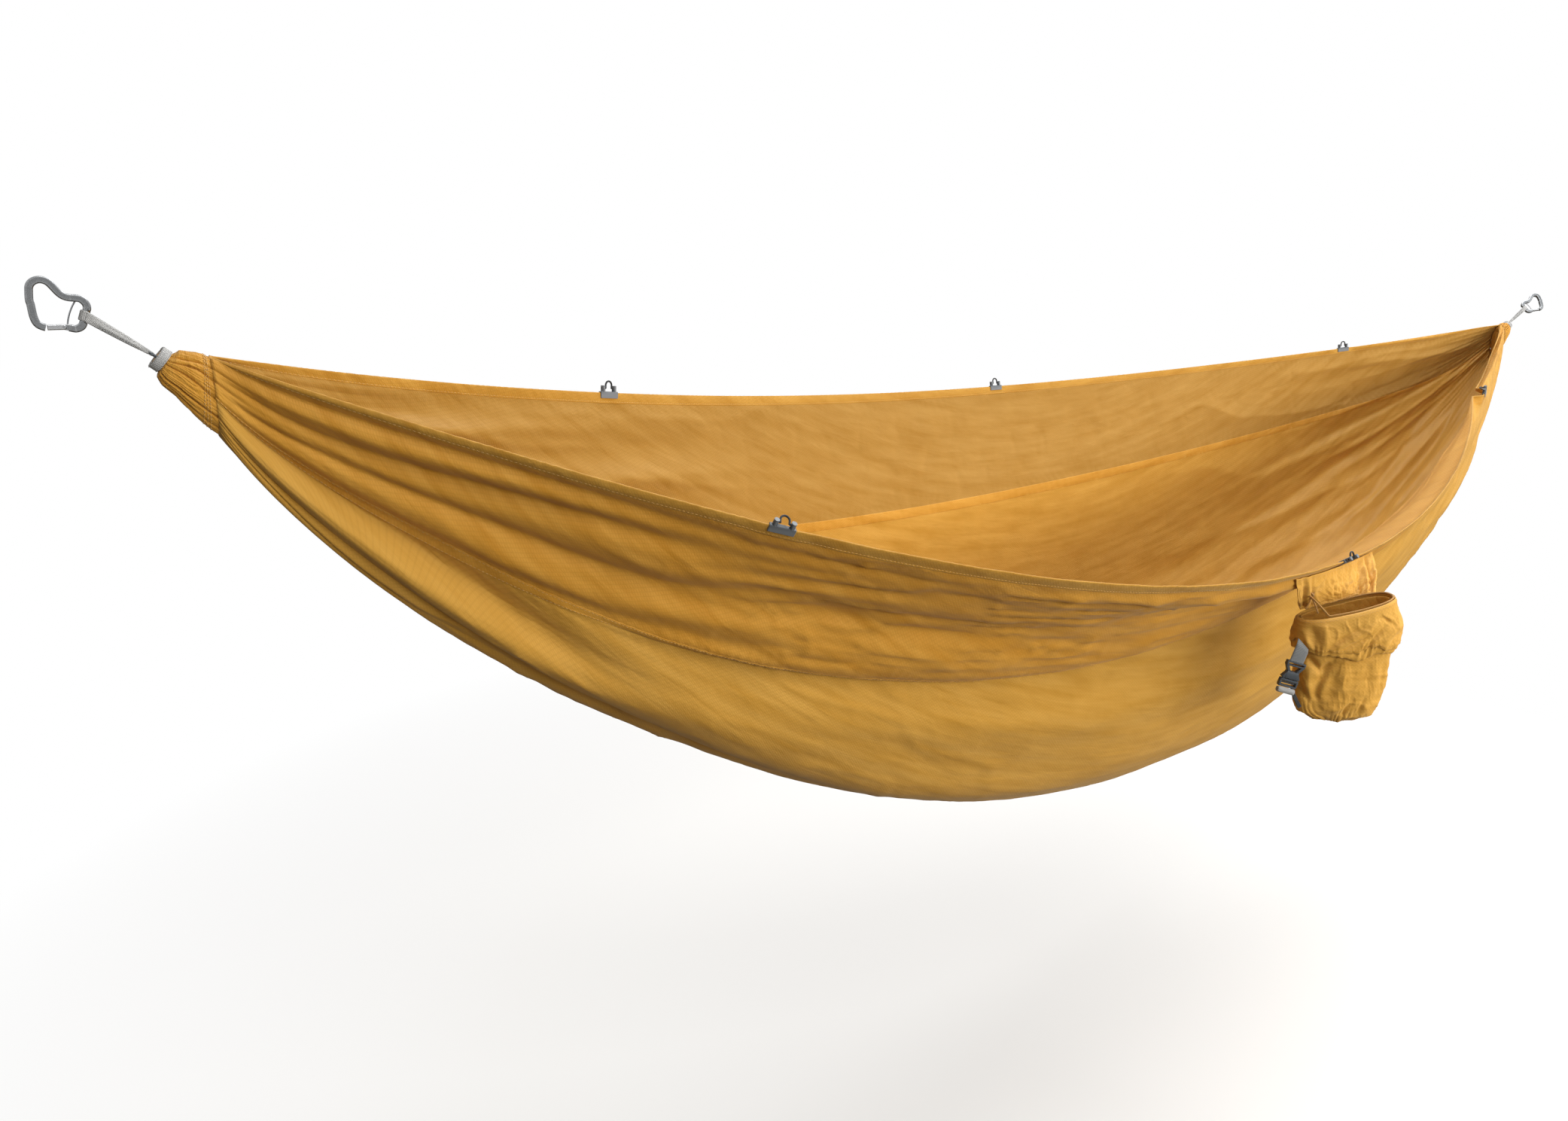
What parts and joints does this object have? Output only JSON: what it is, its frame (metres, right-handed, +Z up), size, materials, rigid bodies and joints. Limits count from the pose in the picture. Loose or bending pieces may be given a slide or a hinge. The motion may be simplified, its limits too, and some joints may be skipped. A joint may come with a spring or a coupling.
{
  "type": "camping hammock",
  "caption": "Three-panel nylon camping hammock, gathered at both ends into webbing slings with carabiners, with gear loops along its edges and a stuff sack hung from one edge.",
  "frame": {"origin": "centre of the bottom of the bounding box, under the middle of the hung cloth", "axes": "+Z up, X along the hammock from the left carabiner (-X) to the right one (+X), -Y is the side with the stuff sack"},
  "size_m": [2.7796, 0.7208, 0.7603],
  "materials": {
    "belly_cloth": "diamond ripstop nylon, satin, mustard",
    "side_cloth": "diamond ripstop nylon, satin, mustard",
    "hem_cloth": "doubled nylon, stitched",
    "sack_cloth": "nylon taffeta, mustard",
    "thread": "polyester thread",
    "light_webbing": "woven webbing, light grey",
    "mid_webbing": "woven webbing, grey",
    "dark_cord": "woven cord, black",
    "slate_cord": "round cord, slate",
    "sack_cord": "round cord, mustard",
    "slate_plastic": "moulded nylon, slate grey",
    "anodised_metal": "anodised, satin grey",
    "bright_metal": "polished",
    "steel": "stainless"
  },
  "bodies": {
    "hammock": {"main_panel": "belly_cloth", "near_side_panel": "side_cloth", "far_side_panel": "side_cloth", "near_hem": "hem_cloth", "far_hem": "hem_cloth", "near_seam": "hem_cloth", "far_seam": "hem_cloth", "left_end_channel": "belly_cloth", "right_end_channel": "belly_cloth", "left_gather_wrap": "light_webbing", "right_gather_wrap": "light_webbing", "left_channel_stitching": "thread", "right_channel_stitching": "thread", "left_channel_cord": "dark_cord", "right_channel_cord": "dark_cord", "near_gear_loop_base_1": "slate_plastic", "near_gear_loop_base_2": "slate_plastic", "near_gear_loop_base_3": "slate_plastic", "far_gear_loop_base_1": "slate_plastic", "far_gear_loop_base_2": "slate_plastic", "far_gear_loop_base_3": "slate_plastic"},
    "left_sling": {"left_sling": "light_webbing"},
    "left_carabiner": {"left_carabiner_body": "anodised_metal", "left_carabiner_keeper": "steel", "left_carabiner_gate_pin": "steel"},
    "left_gate": {"left_carabiner_gate": "bright_metal", "left_carabiner_gate_spring": "steel"},
    "right_sling": {"right_sling": "light_webbing"},
    "right_carabiner": {"right_carabiner_body": "anodised_metal", "right_carabiner_keeper": "steel", "right_carabiner_gate_pin": "steel"},
    "right_gate": {"right_carabiner_gate": "bright_metal", "right_carabiner_gate_spring": "steel"},
    "near_loop_cord_1": {"near_gear_loop_cord_1": "slate_cord"},
    "near_loop_cord_2": {"near_gear_loop_cord_2": "slate_cord"},
    "near_loop_cord_3": {"near_gear_loop_cord_3": "slate_cord"},
    "far_loop_cord_1": {"far_gear_loop_cord_1": "slate_cord"},
    "far_loop_cord_2": {"far_gear_loop_cord_2": "slate_cord"},
    "far_loop_cord_3": {"far_gear_loop_cord_3": "slate_cord"},
    "sack": {"sack_pouch": "sack_cloth", "sack_cuff": "sack_cloth", "sack_drawcord": "sack_cord", "sack_back_flap": "sack_cloth"},
    "sack_strap": {"sack_strap_upper": "mid_webbing", "buckle_socket": "slate_plastic"},
    "sack_plug": {"buckle_plug": "slate_plastic", "webbing_tail_roll": "light_webbing", "sack_strap_lower": "dark_cord"}
  },
  "joints": [
    {"name": "left_sling_swing", "type": "hinge", "parent": "hammock", "child": "left_sling", "pos_m": [-1.31111, 0.06469, 0.69559], "axis": [0, -1, 0], "range_deg": [-35, 35]},
    {"name": "left_carabiner_flop", "type": "hinge", "parent": "left_sling", "child": "left_carabiner", "pos_m": [-1.35234, 0.06469, 0.7251], "axis": [0.3354, 0, 0.9421], "range_deg": [-55, 55]},
    {"name": "left_gate_open", "type": "hinge", "parent": "left_carabiner", "child": "left_gate", "pos_m": [-1.36768, 0.06469, 0.7169], "axis": [0, 1, 0], "range_deg": [0, 25], "stiffness_Nm_per_rad": 0.06},
    {"name": "right_sling_swing", "type": "hinge", "parent": "hammock", "child": "right_sling", "pos_m": [1.31991, 0.06469, 0.69559], "axis": [0.635, 0.5988, -0.4881], "range_deg": [-35, 35]},
    {"name": "right_carabiner_flop", "type": "hinge", "parent": "right_sling", "child": "right_carabiner", "pos_m": [1.35664, 0.05242, 0.72832], "axis": [-0.0584, 0.6671, 0.7426], "range_deg": [-55, 55]},
    {"name": "right_gate_open", "type": "hinge", "parent": "right_carabiner", "child": "right_gate", "pos_m": [1.3664, 0.03864, 0.72412], "axis": [-0.635, -0.5988, 0.4881], "range_deg": [0, 25], "stiffness_Nm_per_rad": 0.06},
    {"name": "near_loop_fold_1", "type": "hinge", "parent": "hammock", "child": "near_loop_cord_1", "pos_m": [-0.81961, -0.14815, 0.53452], "axis": [0.9008, -0.3386, -0.2719], "range_deg": [0, 140]},
    {"name": "near_loop_fold_2", "type": "hinge", "parent": "hammock", "child": "near_loop_cord_2", "pos_m": [0.00716, -0.28837, 0.41627], "axis": [0.9978, 0.0569, 0.0336], "range_deg": [0, 140]},
    {"name": "near_loop_fold_3", "type": "hinge", "parent": "hammock", "child": "near_loop_cord_3", "pos_m": [0.88658, -0.07517, 0.58178], "axis": [0.9115, 0.315, 0.2646], "range_deg": [0, 140]},
    {"name": "far_loop_fold_1", "type": "hinge", "parent": "hammock", "child": "far_loop_cord_1", "pos_m": [-0.81925, 0.22, 0.63342], "axis": [0.9535, 0.2847, -0.0986], "range_deg": [-70, 70]},
    {"name": "far_loop_fold_2", "type": "hinge", "parent": "hammock", "child": "far_loop_cord_2", "pos_m": [0.00693, 0.35705, 0.59561], "axis": [0.9999, -0.0007, 0.0107], "range_deg": [-70, 70]},
    {"name": "far_loop_fold_3", "type": "hinge", "parent": "hammock", "child": "far_loop_cord_3", "pos_m": [0.88782, 0.20211, 0.65002], "axis": [0.9501, -0.2954, 0.1005], "range_deg": [-70, 70]},
    {"name": "sack_swing", "type": "hinge", "parent": "hammock", "child": "sack", "pos_m": [-0.00846, -0.27831, 0.40387], "axis": [-0.9985, -0.042, -0.0351], "range_deg": [-3, 30]},
    {"name": "strap_swing", "type": "hinge", "parent": "sack", "child": "sack_strap", "pos_m": [-0.08716, -0.28891, 0.31113], "axis": [0.7433, -0.6237, -0.2419], "range_deg": [-50, 0]},
    {"name": "buckle_release", "type": "slide", "parent": "sack_strap", "child": "sack_plug", "axis": [-0.1853, 0.1555, -0.9703], "range_m": [0, 0.03]}
  ]
}
